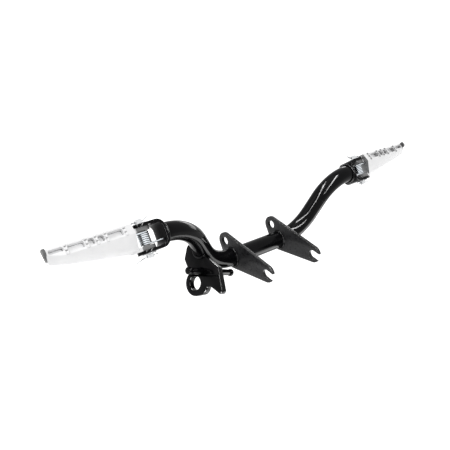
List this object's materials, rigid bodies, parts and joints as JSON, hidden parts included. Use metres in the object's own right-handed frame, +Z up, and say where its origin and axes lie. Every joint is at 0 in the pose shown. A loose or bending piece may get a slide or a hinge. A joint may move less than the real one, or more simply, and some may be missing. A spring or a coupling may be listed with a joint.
{
  "type": "footrest mount",
  "caption": "Bent cross-tube footrest carrier with forked engine plates, a side stand bracket and a spring-return folding footpeg in a clevis at each end.",
  "frame": {"origin": "midway between the two engine plates, on the axis of their bolt holes", "axes": "+X along the cross tube towards the footpeg without the stand bracket, +Y forwards from the slots to the bolt holes, +Z up"},
  "size_m": [0.5698, 0.0962, 0.11],
  "materials": {
    "tube_black": "gloss",
    "plate_black": "satin",
    "peg_aluminium": "fine cast, satin",
    "zinc": "zinc plated",
    "spring_steel": "bright"
  },
  "bodies": {
    "carrier": {"cross_tube": "tube_black", "engine_plate_left": "plate_black", "engine_plate_right": "plate_black", "stand_bracket": "plate_black", "stand_spring_post": "tube_black", "clevis_left": "tube_black", "clevis_right": "tube_black", "hinge_pin_left": "zinc", "hinge_pin_right": "zinc", "washer_upper_left": "zinc", "washer_lower_left": "zinc", "washer_upper_right": "zinc", "washer_lower_right": "zinc", "split_pin_upper_left": "zinc", "split_pin_lower_left": "zinc", "split_pin_upper_right": "zinc", "split_pin_lower_right": "zinc", "torsion_spring_left": "spring_steel", "torsion_spring_right": "spring_steel"},
    "footpeg_left": {"peg_left": "peg_aluminium"},
    "footpeg_right": {"peg_right": "peg_aluminium"}
  },
  "joints": [
    {"name": "peg_left_fold", "type": "hinge", "parent": "carrier", "child": "footpeg_left", "pos_m": [-0.17642, -0.017, 0.058], "axis": [0, 0.7071, 0.7071], "range_deg": [0, 75], "stiffness_Nm_per_rad": 0.6, "springref_deg": -28.65, "deforming": ["torsion_spring_left"]},
    {"name": "peg_right_fold", "type": "hinge", "parent": "carrier", "child": "footpeg_right", "pos_m": [0.17642, -0.017, 0.058], "axis": [0, -0.7071, -0.7071], "range_deg": [0, 75], "stiffness_Nm_per_rad": 0.6, "springref_deg": -28.65, "deforming": ["torsion_spring_right"]}
  ]
}
